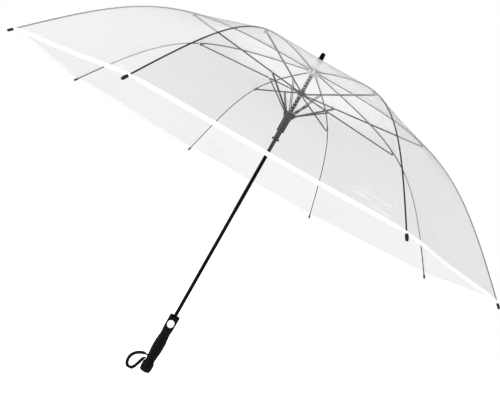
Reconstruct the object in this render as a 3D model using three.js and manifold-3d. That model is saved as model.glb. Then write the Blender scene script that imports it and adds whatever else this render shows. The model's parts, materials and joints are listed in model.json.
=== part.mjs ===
// Clear dome umbrella with eight ribs, open, with its handle down.
// Millimetres. Z runs up the shaft; -Y is the side that carries the push button.
import * as THREE from "three";
import * as BufferGeometryUtils from "three/addons/utils/BufferGeometryUtils.js";
import Module from "manifold-3d";

const wasm = await Module();
wasm.setup();

// Heights along the shaft, measured from the lower end of the handle.
const GRIP_MIDDLE = 80;
const HANDLE_TOP = 159.5;
const SOCKET_FLOOR = 119;
const RUNNER_PIVOT = 777.6;
const HUB_PIVOT = 842;
const NOTCH_PIVOT = 911;
const NOTCH_TOP = 915.8;
const SHAFT_BOTTOM = 30;
const SHAFT_TOP = 944;
const FERRULE_BOTTOM = 939.5;
const FERRULE_TOP = 970;

// The frame: ribs, stretchers and struts.
const RIB_COUNT = 8;
const RIB_STEP = 2 * Math.PI / RIB_COUNT;
const FIRST_RIB = RIB_STEP / 2;
const RIB_ARC = 770;
const JOINT_ARC = 347.5;
const RIB_RADIUS = 1.5;
const NOTCH_RADIUS = 13;
const HUB_RADIUS = 10;
const RUNNER_RADIUS = 15;
const LUG_DROP = 4.5;
const LINK_OFFSET = 4.4;
const STRETCHER_WIDTH = 2.6;
const STRETCHER_DEPTH = 3.4;
const STRUT_PLATE = 1;
const STRUT_DEPTH = 3.4;
const STRUT_SPREAD = 2.3;
const STRUT_REACH = 94;
const CLIP_RADIUS = 2.6;
const CAP_RADIUS = 2.7;
const CAP_LENGTH = 11;

// The clear canopy.
const FILM = 0.2;
const FILM_CLEARANCE = 0.5;
const CROWN_RISE = 1.2;
const SEAM_GAP = 0.4;
const FILM_SAG = 0.012;
const JOINT_GAP = 1;

// The shaft and what slides on it.
const SHAFT_RADIUS = 5;
const SHAFT_WALL = 0.9;
const SLIDE_BORE = 5.4;
const RUNNER_HEAD = 17.6;
const RUNNER_BODY = 10.5;
const RUNNER_SLEEVE = 7;
const RUNNER_RING = 10.6;
const SPRING_RADIUS = 6.4;
const SPRING_WIRE = 0.6;

// The handle, its push button and its strap.
const COLLAR_WIDTH = 28;
const COLLAR_FRONT = 17;
const COLLAR_BACK = 14;
const COLLAR_BOTTOM = 124;
const SOCKET_RADIUS = 11.6;
const BUTTON_WIDTH = 20;
const BUTTON_HEIGHT = 22.6;
const BUTTON_MIDDLE = 140.5;
const BUTTON_POCKET = 12.9;
const STRAP_RADIUS = 2.5;
const END_CAP_HEIGHT = 5;

const up = new THREE.Vector3(0, 0, 1);

function plastic(color, roughness, opacity = 1) {
  const transparent = opacity < 1;
  return new THREE.MeshStandardMaterial({ color, roughness, metalness: 0, opacity, transparent });
}

function steel(color, roughness) {
  return new THREE.MeshStandardMaterial({ color, roughness, metalness: 0.9 });
}

function solidOf(geometry) {
  const bare = geometry.clone();
  bare.deleteAttribute("normal");
  bare.deleteAttribute("uv");
  const merged = BufferGeometryUtils.mergeVertices(bare, 1e-4);
  const vertProperties = new Float32Array(merged.attributes.position.array);
  const triVerts = new Uint32Array(merged.index.array);
  return new wasm.Manifold(new wasm.Mesh({ numProp: 3, vertProperties, triVerts }));
}

function geometryOf(solid) {
  const mesh = solid.getMesh();
  const geometry = new THREE.BufferGeometry();
  geometry.setAttribute("position", new THREE.BufferAttribute(mesh.vertProperties, 3));
  geometry.setIndex(new THREE.BufferAttribute(mesh.triVerts, 1));
  return geometry;
}

// A round body about Z from its outline of [radius, height] points.
function turned(outline, segments) {
  const points = outline.map(([r, z]) => new THREE.Vector2(r, z));
  const geometry = new THREE.LatheGeometry(points, segments);
  geometry.rotateX(Math.PI / 2);
  return geometry;
}

function ring(inner, outer, bottom, top, segments) {
  const outline = [[inner, bottom], [outer, bottom], [outer, top], [inner, top], [inner, bottom]];
  return turned(outline, segments);
}

function block(x0, x1, y0, y1, z0, z1) {
  const geometry = new THREE.BoxGeometry(x1 - x0, y1 - y0, z1 - z0);
  geometry.translate((x0 + x1) / 2, (y0 + y1) / 2, (z0 + z1) / 2);
  return geometry;
}

// A round bar through a list of points.
function bar(points, radius, steps, sides = 6) {
  const outline = new THREE.Shape();
  for (let i = 0; i < sides; i += 1) {
    const angle = 2 * Math.PI * (i + 0.5) / sides;
    const place = [radius * Math.cos(angle), radius * Math.sin(angle)];
    if (i === 0) outline.moveTo(...place);
    else outline.lineTo(...place);
  }
  outline.closePath();
  const extrudePath = new THREE.CatmullRomCurve3(points);
  return new THREE.ExtrudeGeometry(outline, { steps, extrudePath, bevelEnabled: false });
}

// A flat bar with round ends between two points of the XZ plane, centred on y.
function flatBar(from, to, depth, width, y) {
  const length = from.distanceTo(to);
  const outline = new THREE.Shape();
  outline.absarc(0, 0, depth / 2, Math.PI / 2, 3 * Math.PI / 2, false);
  outline.absarc(length, 0, depth / 2, -Math.PI / 2, Math.PI / 2, false);
  outline.closePath();
  const geometry = new THREE.ExtrudeGeometry(outline, {
    depth: width,
    bevelEnabled: false,
    curveSegments: 3,
  });
  geometry.translate(0, 0, -width / 2);
  geometry.rotateX(Math.PI / 2);
  geometry.rotateY(-Math.atan2(to.z - from.z, to.x - from.x));
  geometry.translate(from.x, y, from.z);
  return geometry;
}

// The rib's slope below the horizontal: nearly flat at the notch, steep at the hem.
function ribSlope(arc) {
  const share = arc / RIB_ARC;
  const bend = 1 / (1 + Math.exp(-8.7 * (share - 0.53)));
  return THREE.MathUtils.degToRad(5 + 44.5 * bend);
}

// The rib's centre line in its own XZ plane, found by walking down its slope.
function ribPoint(arc) {
  const point = new THREE.Vector3(NOTCH_RADIUS, 0, NOTCH_PIVOT);
  const steps = Math.max(1, Math.ceil(arc / 2));
  const stride = arc / steps;
  for (let i = 0; i < steps; i += 1) {
    const slope = ribSlope((i + 0.5) * stride);
    point.x += stride * Math.cos(slope);
    point.z -= stride * Math.sin(slope);
  }
  return point;
}

function ribStretch(from, to, count) {
  const points = [];
  for (let i = 0; i <= count; i += 1) points.push(ribPoint(from + (to - from) * i / count));
  return points;
}

const joint = ribPoint(JOINT_ARC);
const lugPivot = new THREE.Vector3(joint.x, 0, joint.z - LUG_DROP);
const hubPivot = new THREE.Vector3(HUB_RADIUS, 0, HUB_PIVOT);
const runnerPivot = new THREE.Vector3(RUNNER_RADIUS, 0, RUNNER_PIVOT);
const strutPivot = hubPivot.clone().lerp(lugPivot, STRUT_REACH / hubPivot.distanceTo(lugPivot));

// Inner half of a rib: steel rod, with the clip and the lug that the stretcher is riveted to.
function ribInner() {
  const rod = solidOf(bar(ribStretch(0, JOINT_ARC - JOINT_GAP, 8), RIB_RADIUS, 12));
  const eye = new THREE.SphereGeometry(2, 10, 8);
  eye.translate(NOTCH_RADIUS, 0, NOTCH_PIVOT);
  const sleeve = bar(ribStretch(JOINT_ARC - 12, JOINT_ARC - JOINT_GAP, 2), CLIP_RADIUS, 2);
  sleeve.translate(0, 0, RIB_RADIUS - CLIP_RADIUS);
  const clip = solidOf(sleeve);
  const lug = solidOf(block(joint.x - 8, joint.x - 1.6, -1.2, 1.2, joint.z - 7.4, joint.z));
  return geometryOf(rod.add(solidOf(eye)).add(clip).add(lug));
}

// Outer half of a rib: fibreglass rod with the cap that the hem is tied to.
function ribOuter() {
  const rod = solidOf(bar(ribStretch(JOINT_ARC + JOINT_GAP, RIB_ARC, 10), RIB_RADIUS, 14));
  const cap = solidOf(bar(ribStretch(RIB_ARC - 2, RIB_ARC + CAP_LENGTH - 2, 2), CAP_RADIUS, 2));
  return geometryOf(rod.add(cap));
}

function stretcher() {
  return flatBar(hubPivot, lugPivot, STRETCHER_DEPTH, STRETCHER_WIDTH, LINK_OFFSET);
}

// A strut is two thin plates astride its stretcher, tied by a web beside the runner.
function strut() {
  const plates = [-1, 1].map((side) => {
    const y = LINK_OFFSET + side * STRUT_SPREAD;
    return solidOf(flatBar(runnerPivot, strutPivot, STRUT_DEPTH, STRUT_PLATE, y));
  });
  const near = runnerPivot.clone().lerp(strutPivot, 0.012);
  const far = runnerPivot.clone().lerp(strutPivot, 0.045);
  const web = solidOf(flatBar(near, far, STRUT_DEPTH - 1, 2 * STRUT_SPREAD, LINK_OFFSET));
  return geometryOf(plates[0].add(plates[1]).add(web));
}

// Cuts one slot for each rib, as wide as the link that turns in it.
function slotted(body, x0, x1, y0, y1, z0, z1) {
  let solid = body;
  for (let i = 0; i < RIB_COUNT; i += 1) {
    const slot = block(x0, x1, y0, y1, z0, z1);
    slot.rotateZ(FIRST_RIB + i * RIB_STEP);
    solid = solid.subtract(solidOf(slot));
  }
  return solid;
}

function topNotch() {
  const body = solidOf(ring(SLIDE_BORE, 17, NOTCH_PIVOT - 9, NOTCH_TOP, 24));
  return geometryOf(slotted(body, 9.6, 20, -2.4, 2.4, NOTCH_PIVOT - 12, NOTCH_PIVOT + 2.6));
}

function midHub() {
  const body = solidOf(ring(SLIDE_BORE, 12, HUB_PIVOT - 6, HUB_PIVOT + 6, 24));
  const half = STRETCHER_WIDTH / 2 + 0.4;
  const low = LINK_OFFSET - half;
  const high = LINK_OFFSET + half;
  return geometryOf(slotted(body, 7.6, 16, low, high, HUB_PIVOT - 3, HUB_PIVOT + 12));
}

function runner() {
  const z = RUNNER_PIVOT;
  const outline = [
    [SLIDE_BORE, z - 81.5],
    [RUNNER_SLEEVE, z - 81.5],
    [RUNNER_RING, z - 80.5],
    [RUNNER_RING, z - 76],
    [RUNNER_SLEEVE, z - 75],
    [RUNNER_SLEEVE, z - 54.7],
    [RUNNER_BODY, z - 53.7],
    [RUNNER_BODY, z - 16],
    [RUNNER_HEAD, z - 11],
    [RUNNER_HEAD, z + 3],
    [SLIDE_BORE, z + 3],
    [SLIDE_BORE, z - 81.5],
  ];
  const body = solidOf(turned(outline, 24));
  const half = STRUT_SPREAD + STRUT_PLATE / 2 + 0.35;
  const low = LINK_OFFSET - half;
  const high = LINK_OFFSET + half;
  return geometryOf(slotted(body, 12.6, 24, low, high, z - 3, z + 6));
}

// A coil spring about the shaft, from one height to another.
function coil(bottom, top, turns) {
  const points = [];
  const count = turns * 8;
  for (let i = 0; i <= count; i += 1) {
    const angle = 2 * Math.PI * i / 8;
    const z = bottom + (top - bottom) * i / count;
    points.push(new THREE.Vector3(SPRING_RADIUS * Math.cos(angle), SPRING_RADIUS * Math.sin(angle), z));
  }
  return bar(points, SPRING_WIRE, count, 4);
}

function ferrule() {
  return turned([
    [0, SHAFT_TOP + 0.4],
    [SLIDE_BORE, SHAFT_TOP + 0.4],
    [SLIDE_BORE, FERRULE_BOTTOM],
    [7.6, FERRULE_BOTTOM],
    [7.8, FERRULE_BOTTOM + 2],
    [5.9, FERRULE_TOP - 3],
    [4.6, FERRULE_TOP],
    [0, FERRULE_TOP],
  ], 16);
}

// Whitish collar under the ferrule, spread out over the middle of the canopy.
function crownWasher() {
  return turned([
    [SLIDE_BORE, NOTCH_TOP + 2],
    [22, NOTCH_TOP + 2],
    [21, NOTCH_TOP + 3],
    [10, NOTCH_TOP + 7],
    [8.2, FERRULE_BOTTOM - 0.4],
    [SLIDE_BORE, FERRULE_BOTTOM - 0.4],
    [SLIDE_BORE, NOTCH_TOP + 2],
  ], 24);
}

// Height of the film's lower side over the rib's centre line: it lies on the ribs,
// and rises to pass over the notch.
function filmLift(arc) {
  const crown = 1 - THREE.MathUtils.smoothstep(arc, 8, 36);
  const overNotch = NOTCH_TOP - NOTCH_PIVOT + CROWN_RISE;
  return THREE.MathUtils.lerp(RIB_RADIUS + FILM_CLEARANCE, overNotch, crown);
}

// A point of one panel: arc runs down the rib, across goes from -1 to 1 between two ribs,
// and lift stands off the film's lower side. The middle of the panel sags a little.
function panelPoint(arc, across, lift) {
  const centre = ribPoint(Math.max(arc, 0));
  const slope = ribSlope(arc);
  const height = filmLift(arc) + lift;
  const radius = centre.x + Math.min(arc, 0) + height * Math.sin(slope);
  const z = centre.z + height * Math.cos(slope);
  const half = RIB_STEP / 2;
  const reach = radius * Math.cos(half);
  const width = radius * Math.sin(half) - SEAM_GAP / 2;
  const sag = FILM_SAG * width * (1 - across * across);
  return new THREE.Vector3(
    reach - sag * Math.sin(slope),
    across * width,
    z - sag * Math.cos(slope),
  );
}

// One panel between two ribs: a thin slab with many divisions, bent onto the panel's surface.
// A crowding above 1 brings its rows closer together near the notch.
function panel(from, to, rows, crowding) {
  const geometry = new THREE.BoxGeometry(1, 1, 1, rows, 2, 1);
  const places = geometry.attributes.position;
  for (let i = 0; i < places.count; i += 1) {
    const arc = from + (to - from) * (places.getX(i) + 0.5) ** crowding;
    const lift = FILM * (places.getZ(i) + 0.5);
    const point = panelPoint(arc, 2 * places.getY(i), lift);
    places.setXYZ(i, point.x, point.y, point.z);
  }
  return geometryOf(solidOf(geometry));
}

// The handle's outline, from the lower end up to the collar.
const handleOutline = [
  [14.8, END_CAP_HEIGHT + 0.3],
  [15.5, 8],
  [15.5, 21],
  [12.6, 26],
  [12.3, 31],
  [13, 41],
  [14.5, 55],
  [15.3, 68],
  [15.3, 80],
  [13.7, 95],
  [12.7, 106],
  [12.9, 116],
  [13.4, 134],
];

// Moulded handle: a turned grip under a squarish collar, with a socket for the runner's
// sleeve, a bore for the shaft and a pocket for the push button.
function handleGrip() {
  const profile = [[0, END_CAP_HEIGHT + 0.3], ...handleOutline, [0, 134]];
  const grip = solidOf(turned(profile, 24));
  const half = COLLAR_WIDTH / 2;
  const corner = 6;
  const outline = new THREE.Shape();
  outline.absarc(half - corner, COLLAR_BACK - corner, corner, 0, Math.PI / 2, false);
  outline.absarc(corner - half, COLLAR_BACK - corner, corner, Math.PI / 2, Math.PI, false);
  outline.absarc(corner - half, corner - COLLAR_FRONT, corner, Math.PI, 1.5 * Math.PI, false);
  outline.absarc(half - corner, corner - COLLAR_FRONT, corner, 1.5 * Math.PI, 2 * Math.PI, false);
  outline.closePath();
  const collar = new THREE.ExtrudeGeometry(outline, {
    depth: HANDLE_TOP - COLLAR_BOTTOM,
    bevelEnabled: false,
    curveSegments: 6,
  });
  collar.translate(0, 0, COLLAR_BOTTOM);
  const socket = new THREE.CylinderGeometry(SOCKET_RADIUS, SOCKET_RADIUS, 60, 32);
  socket.rotateX(Math.PI / 2);
  socket.translate(0, 0, SOCKET_FLOOR + 30);
  const bore = new THREE.CylinderGeometry(SLIDE_BORE, SLIDE_BORE, 120, 24);
  bore.rotateX(Math.PI / 2);
  bore.translate(0, 0, SHAFT_BOTTOM - 1 + 60);
  const plug = new THREE.CylinderGeometry(9.4, 9.4, 8, 24);
  plug.rotateX(Math.PI / 2);
  plug.translate(0, 0, END_CAP_HEIGHT + 0.3 + 2);
  const pocket = buttonPlate(0.4, -25, -BUTTON_POCKET);
  return geometryOf(grip.add(solidOf(collar))
    .subtract(solidOf(socket))
    .subtract(solidOf(bore))
    .subtract(solidOf(plug))
    .subtract(solidOf(pocket)));
}

// An upright oval plate in front of the shaft, grown by a margin, between two depths.
function buttonPlate(margin, yFront, yBack) {
  const outline = new THREE.Shape();
  const across = BUTTON_WIDTH / 2 + margin;
  const tall = BUTTON_HEIGHT / 2 + margin;
  outline.absellipse(0, 0, across, tall, 0, 2 * Math.PI, false, 0);
  const geometry = new THREE.ExtrudeGeometry(outline, {
    depth: yBack - yFront,
    bevelEnabled: false,
    curveSegments: 8,
  });
  geometry.rotateX(Math.PI / 2);
  geometry.translate(0, yBack, BUTTON_MIDDLE);
  return geometry;
}

function pushButton() {
  const plate = solidOf(buttonPlate(0, -COLLAR_FRONT - 1, -14.9));
  const crown = solidOf(buttonPlate(-2.5, -COLLAR_FRONT - 2, -16));
  return geometryOf(plate.add(crown));
}

function handleEndCap() {
  return turned([
    [0, 0],
    [13.4, 0],
    [14.4, 1.6],
    [14.8, END_CAP_HEIGHT],
    [9, END_CAP_HEIGHT],
    [9, END_CAP_HEIGHT + 3],
    [0, END_CAP_HEIGHT + 3],
  ], 24);
}

// The strap's route beside the handle: out of the upper hole, down, round and back.
const strapRoute = [
  [-13.8, 0, 38.5],
  [-18, 0, 38.8],
  [-24, -0.5, 38.4],
  [-33, -1.5, 35.6],
  [-41.5, -2.5, 30.4],
  [-48, -3, 23.4],
  [-51.6, -3, 14.5],
  [-52, -2.5, 4.5],
  [-49, -1.5, -4.8],
  [-42.4, 0, -10.6],
  [-34.4, 1.5, -9.8],
  [-28.6, 2.2, -3.2],
  [-25.2, 2, 5.4],
  [-22, 1.2, 14.6],
  [-19.8, 0.4, 22.6],
  [-17.2, 0, 27.8],
  [-14.2, 0, 29.2],
];

function wristStrap() {
  const points = strapRoute.map(([x, y, z]) => new THREE.Vector3(x, y, z));
  return bar(points, STRAP_RADIUS, 32, 8);
}

const umbrella = new THREE.Group();
umbrella.position.z = -GRIP_MIDDLE;

function add(name, geometry, material, turn = 0) {
  const mesh = new THREE.Mesh(geometry, material);
  mesh.name = name;
  mesh.setRotationFromAxisAngle(up, turn);
  umbrella.add(mesh);
}

const shaftBlack = steel(0x17181a, 0.3);
const matteBlack = plastic(0x1c1c1e, 0.5);
const ribGrey = steel(0x3a3c40, 0.4);
const springSteel = steel(0x9a9da2, 0.35);
const clearFilm = plastic(0xeef1f3, 0.08, 0.25);
const white = plastic(0xf2f2f0, 0.4);

add("shaft_tube", ring(SHAFT_RADIUS - SHAFT_WALL, SHAFT_RADIUS, SHAFT_BOTTOM, SHAFT_TOP, 24), shaftBlack);
add("top_notch", topNotch(), matteBlack);
add("mid_hub", midHub(), matteBlack);
add("runner", runner(), matteBlack);
add("opening_spring", coil(RUNNER_PIVOT + 4.2, HUB_PIVOT - 7.2, 7), springSteel);
add("buffer_spring", coil(HUB_PIVOT + 10, NOTCH_PIVOT - 10.4, 7), springSteel);
add("crown_washer", crownWasher(), white);
add("ferrule", ferrule(), matteBlack);
add("handle_grip", handleGrip(), matteBlack);
add("handle_end_cap", handleEndCap(), matteBlack);
add("push_button", pushButton(), white);
add("wrist_strap", wristStrap(), matteBlack);

for (let i = 0; i < RIB_COUNT; i += 1) {
  const turn = FIRST_RIB + i * RIB_STEP;
  const middle = turn + RIB_STEP / 2;
  add(`rib_inner_${i + 1}`, ribInner(), ribGrey, turn);
  add(`rib_outer_${i + 1}`, ribOuter(), ribGrey, turn);
  add(`stretcher_${i + 1}`, stretcher(), ribGrey, turn);
  add(`strut_${i + 1}`, strut(), ribGrey, turn);
  add(`gore_inner_${i + 1}`, panel(-3, JOINT_ARC - JOINT_GAP, 15, 1.3), clearFilm, middle);
  add(`gore_outer_${i + 1}`, panel(JOINT_ARC + JOINT_GAP, RIB_ARC - 4, 15, 1), clearFilm, middle);
}

export default umbrella;
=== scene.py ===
import json
import math

import bmesh
import bpy
import numpy as np
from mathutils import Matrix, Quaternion, Vector


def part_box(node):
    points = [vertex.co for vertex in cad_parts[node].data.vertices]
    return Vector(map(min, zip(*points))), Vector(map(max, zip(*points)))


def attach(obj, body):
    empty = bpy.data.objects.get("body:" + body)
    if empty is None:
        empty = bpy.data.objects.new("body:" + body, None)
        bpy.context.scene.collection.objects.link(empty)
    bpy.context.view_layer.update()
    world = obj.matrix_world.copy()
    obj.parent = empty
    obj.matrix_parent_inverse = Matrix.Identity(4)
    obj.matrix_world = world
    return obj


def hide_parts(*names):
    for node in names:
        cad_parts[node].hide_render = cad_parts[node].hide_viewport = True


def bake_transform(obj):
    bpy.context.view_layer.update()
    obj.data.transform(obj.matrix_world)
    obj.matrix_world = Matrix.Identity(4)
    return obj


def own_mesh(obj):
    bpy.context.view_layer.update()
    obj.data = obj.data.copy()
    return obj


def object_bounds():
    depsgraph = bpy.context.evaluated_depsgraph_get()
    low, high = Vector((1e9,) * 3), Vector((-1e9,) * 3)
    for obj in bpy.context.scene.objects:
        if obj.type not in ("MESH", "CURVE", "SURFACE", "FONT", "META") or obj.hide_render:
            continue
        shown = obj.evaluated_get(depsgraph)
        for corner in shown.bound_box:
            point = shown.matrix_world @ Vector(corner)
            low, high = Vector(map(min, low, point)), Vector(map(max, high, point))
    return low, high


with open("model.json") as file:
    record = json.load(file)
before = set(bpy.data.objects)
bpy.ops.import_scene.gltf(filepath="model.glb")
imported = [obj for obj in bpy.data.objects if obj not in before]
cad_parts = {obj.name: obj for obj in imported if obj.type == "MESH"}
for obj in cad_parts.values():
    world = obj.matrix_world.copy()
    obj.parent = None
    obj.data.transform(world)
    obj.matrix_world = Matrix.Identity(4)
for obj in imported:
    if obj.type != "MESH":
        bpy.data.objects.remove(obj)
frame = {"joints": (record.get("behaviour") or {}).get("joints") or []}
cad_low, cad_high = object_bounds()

# ---------------------------------------------------------------- studio and camera
# A plain white sweep under a large soft light, with a panel on the left and a strip on the right.
# The umbrella leans in the view because the camera is rolled, not the umbrella.
MM = 0.001
scene = bpy.context.scene
scene.view_settings.view_transform = "Standard"

CAMERA_PLACE = (-0.0083, -1.5459, 0.4219)
CAMERA_TURN = math.radians(87.97)
CAMERA_RISE = math.radians(4.15)
CAMERA_ROLL = math.radians(29.42)
LENS_MM = 41.44

camera = bpy.data.objects.new("camera", bpy.data.cameras.new("camera"))
scene.collection.objects.link(camera)
scene.camera = camera
gaze = Vector((
    math.cos(CAMERA_RISE) * math.cos(CAMERA_TURN),
    math.cos(CAMERA_RISE) * math.sin(CAMERA_TURN),
    math.sin(CAMERA_RISE),
))
camera.rotation_mode = "QUATERNION"
camera.rotation_quaternion = gaze.to_track_quat("-Z", "Y") @ Quaternion((0, 0, 1), CAMERA_ROLL)
camera.location = CAMERA_PLACE
camera.data.lens = LENS_MM
camera.data.sensor_width = 36
camera.data.shift_x = -0.05
camera.data.shift_y = -0.05


def tint(code, alpha=1.0):
    """An sRGB hex colour as linear red, green, blue and alpha."""
    parts = np.array([int(code[i:i + 2], 16) for i in (1, 3, 5)]) / 255
    low = parts / 12.92
    high = ((parts + 0.055) / 1.055) ** 2.4
    return (*np.where(parts <= 0.04045, low, high), alpha)


def node(tree, kind, inputs, **settings):
    """Adds a node with its settings; inputs holds a value, or another node's output, per socket."""
    made = tree.nodes.new(kind)
    for name, value in settings.items():
        setattr(made, name, value)
    for name, value in inputs.items():
        if isinstance(value, bpy.types.NodeSocket):
            tree.links.new(value, made.inputs[name])
        else:
            made.inputs[name].default_value = value
    return made


def light(name, place, aim, size, watts):
    """A rectangular area light, with its width and height in metres, turned to face a point."""
    data = bpy.data.lights.new(name, "AREA")
    data.shape = "RECTANGLE"
    data.size, data.size_y = size
    data.energy = watts
    lamp = bpy.data.objects.new(name, data)
    lamp.location = place
    lamp.rotation_mode = "QUATERNION"
    lamp.rotation_quaternion = (Vector(aim) - Vector(place)).to_track_quat("-Z", "Y")
    scene.collection.objects.link(lamp)


light("overhead", (0.0, -0.2, 2.6), (0, 0, 0.4), (2.6, 2.2), 20)
light("left_panel", (-1.9, -1.5, 0.9), (0, 0, 0.4), (1.1, 1.8), 44)
light("right_strip", (2.1, -0.9, 1.0), (0, 0, 0.6), (0.35, 1.6), 16)

# The eye and the clear film see plain white; the black parts mirror a dimmer room.
world = bpy.data.worlds.new("studio")
scene.world = world
world.use_nodes = True
world.node_tree.nodes.clear()
ray = node(world.node_tree, "ShaderNodeLightPath", {})
seen = node(world.node_tree, "ShaderNodeMapRange", {
    "Value": ray.outputs["Is Camera Ray"], "To Min": 0.9, "To Max": 1.0,
})
glow = node(world.node_tree, "ShaderNodeMath", {
    0: ray.outputs["Is Glossy Ray"], 1: -0.78, 2: seen.outputs["Result"],
}, operation="MULTIPLY_ADD")
sky = node(world.node_tree, "ShaderNodeBackground", {
    "Color": tint("#ffffff"), "Strength": glow.outputs["Value"],
})
node(world.node_tree, "ShaderNodeOutputWorld", {"Surface": sky.outputs["Background"]})

sweep = bpy.data.materials.new("white_paper_sweep")
sweep.use_nodes = True
sweep.node_tree.nodes.clear()
floor_ray = node(sweep.node_tree, "ShaderNodeLightPath", {})
floor_glow = node(sweep.node_tree, "ShaderNodeMath", {
    0: floor_ray.outputs["Is Camera Ray"], 1: 0.62,
}, operation="MULTIPLY")
paper = node(sweep.node_tree, "ShaderNodeBsdfPrincipled", {
    "Base Color": tint("#f4f4f4"), "Roughness": 0.9, "Specular IOR Level": 0.1,
    "Emission Color": tint("#ffffff"), "Emission Strength": floor_glow.outputs["Value"],
})
node(sweep.node_tree, "ShaderNodeOutputMaterial", {"Surface": paper.outputs["BSDF"]})

FLOOR_REACH = 30
floor_mesh = bpy.data.meshes.new("floor")
floor_corners = [
    (x * FLOOR_REACH, y * FLOOR_REACH, cad_low.z)
    for x, y in ((-1, -1), (1, -1), (1, 1), (-1, 1))
]
floor_mesh.from_pydata(floor_corners, [], [(0, 1, 2, 3)])
floor_mesh.materials.append(sweep)
floor = bpy.data.objects.new("floor", floor_mesh)
scene.collection.objects.link(floor)

# ---------------------------------------------------------------- wrist strap
# A loop of flat braided nylon, both ends held inside the handle's neck.
# It leaves on the strap side, droops under its own weight and comes back above the knob.
LOWER_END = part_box("handle_end_cap")[0][2]
STRAP_WIDTH = 8.5 * MM
STRAP_ROUTE = np.array([
    [-13.8, 0, 38.5], [-18, 0, 38.8], [-24, -0.5, 38.4], [-33, -1.5, 35.6], [-41.5, -2.5, 30.4],
    [-48, -3, 23.4], [-51.6, -3, 14.5], [-52, -2.5, 4.5], [-49, -1.5, -4.8], [-42.4, 0, -10.6],
    [-34.4, 1.5, -9.8], [-28.6, 2.2, -3.2], [-25.2, 2, 5.4], [-22, 1.2, 14.6], [-19.8, 0.4, 22.6],
    [-17.2, 0, 27.8], [-14.2, 0, 29.2],
]) * MM + [0, 0, LOWER_END]


def smooth_through(points, steps):
    """A Catmull-Rom curve: between two points it is the cubic whose slope at each is half the
    way between that point's neighbours."""
    ends = np.concatenate([[2 * points[0] - points[1]], points, [2 * points[-1] - points[-2]]])
    t = np.linspace(0, 1, steps, endpoint=False)[None, :, None]
    a, b, c, d = (ends[i:len(ends) - 3 + i, None, :] for i in range(4))
    curve = 0.5 * (2 * b + (c - a) * t + (2 * a - 5 * b + 4 * c - d) * t ** 2
                   + (3 * b - a - 3 * c + d) * t ** 3)
    return np.concatenate([curve.reshape(-1, points.shape[1]), points[-1:]])


def eased(value, start, end):
    """0 before start, 1 after end, and 3 s^2 - 2 s^3 between."""
    share = np.clip((value - start) / (end - start), 0, 1)
    return share * share * (3 - 2 * share)


def unit(vectors):
    """Vectors divided by their own lengths."""
    return vectors / np.linalg.norm(vectors, axis=-1, keepdims=True)


def circle(radius, sides, flat=1.0):
    """Points of an ellipse: radius across, and radius times flat the other way."""
    angle = np.linspace(0, 2 * np.pi, sides + 1)
    return np.stack([radius * np.cos(angle), radius * flat * np.sin(angle)], -1)


def swept(path, section, side, edge=0.2):
    """A section carried along a path. Each ring is path + section.x * s + section.y * (t x s),
    where t is the path's direction and s is the side vector made square to it. The ends close
    over a small rounded edge."""
    along = unit(np.gradient(path, axis=0))
    side = np.broadcast_to(side, path.shape)
    s = unit(side - np.sum(side * along, -1, keepdims=True) * along)
    t = np.cross(along, s)
    grid = (path[:, None] + section[None, :, :1] * s[:, None] + section[None, :, 1:] * t[:, None])
    reach = np.abs(section).max() * edge
    caps = []
    for end, way in ((0, -1), (-1, 1)):
        ring = grid[end] - path[end]
        shift = way * along[end] * reach
        rings = [path[end] + ring, path[end] + ring * (1 - edge) + shift, path[end] + ring * 0 + shift]
        caps.append(np.array(rings[1:]))
    return np.concatenate([caps[0][::-1], grid, caps[1]])


def shell(grid):
    """Points, four-cornered faces and a map in metres for a grid of points: u runs along the
    columns and v along the rows, each at its mean length."""
    rows, columns = grid.shape[:2]
    r, c = np.meshgrid(np.arange(rows - 1), np.arange(columns - 1), indexing="ij")
    first = (r * columns + c).ravel()
    faces = np.stack([first, first + columns, first + columns + 1, first + 1], -1)
    across = np.linalg.norm(np.diff(grid, axis=1), axis=-1).mean(0).cumsum()
    down = np.linalg.norm(np.diff(grid, axis=0), axis=-1).mean(1).cumsum()
    u, v = np.meshgrid([0, *across], [0, *down])
    return grid.reshape(-1, 3), faces, np.stack([u.ravel(), v.ravel()], -1)


def gathered(grids):
    """The points, faces and maps of several grids as one set, with the faces renumbered."""
    shells = [shell(np.asarray(grid, float)) for grid in grids]
    starts = np.cumsum([0] + [len(part[0]) for part in shells])
    points = np.concatenate([part[0] for part in shells])
    faces = np.concatenate([part[1] + start for part, start in zip(shells, starts)])
    return points, faces, np.concatenate([part[2] for part in shells])


def heal(mesh, drop_slivers):
    """Merges points that meet, so seams and poles close, and turns every face outward."""
    work = bmesh.new()
    work.from_mesh(mesh)
    bmesh.ops.remove_doubles(work, verts=work.verts, dist=1e-7)
    if drop_slivers:
        bmesh.ops.dissolve_degenerate(work, edges=work.edges, dist=1e-8)
    bmesh.ops.recalc_face_normals(work, faces=work.faces)
    work.to_mesh(mesh)
    work.free()


def piece(name, grids, material, body, stands_for=(), sharp=35):
    """One object from several grids, whose edges turn sharp above an angle in degrees. With no
    body it is left for the caller to attach."""
    points, faces, places = gathered(grids)
    mesh = bpy.data.meshes.new(name)
    mesh.from_pydata(points.tolist(), [], faces.tolist())
    mesh.uv_layers.new(name="metres").data.foreach_set("uv", places[faces.ravel()].ravel())
    heal(mesh, True)
    mesh.shade_smooth()
    mesh.set_sharp_from_angle(angle=math.radians(sharp))
    mesh.materials.append(material)
    made = bpy.data.objects.new(name, mesh)
    scene.collection.objects.link(made)
    if body:
        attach(made, body)
    if stands_for:
        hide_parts(*stands_for)
    return made


def material(name, finish):
    """A material whose node tree is cleared; finish adds its nodes and returns the shader."""
    made = bpy.data.materials.new(name)
    made.use_nodes = True
    made.node_tree.nodes.clear()
    shader = finish(made.node_tree)
    node(made.node_tree, "ShaderNodeOutputMaterial", {"Surface": shader.outputs["BSDF"]})
    return made


def wave_scale(spacing):
    """The Wave texture's scale for bands this far apart: it repeats every pi / 10 / scale."""
    return math.pi / 10 / spacing


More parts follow.
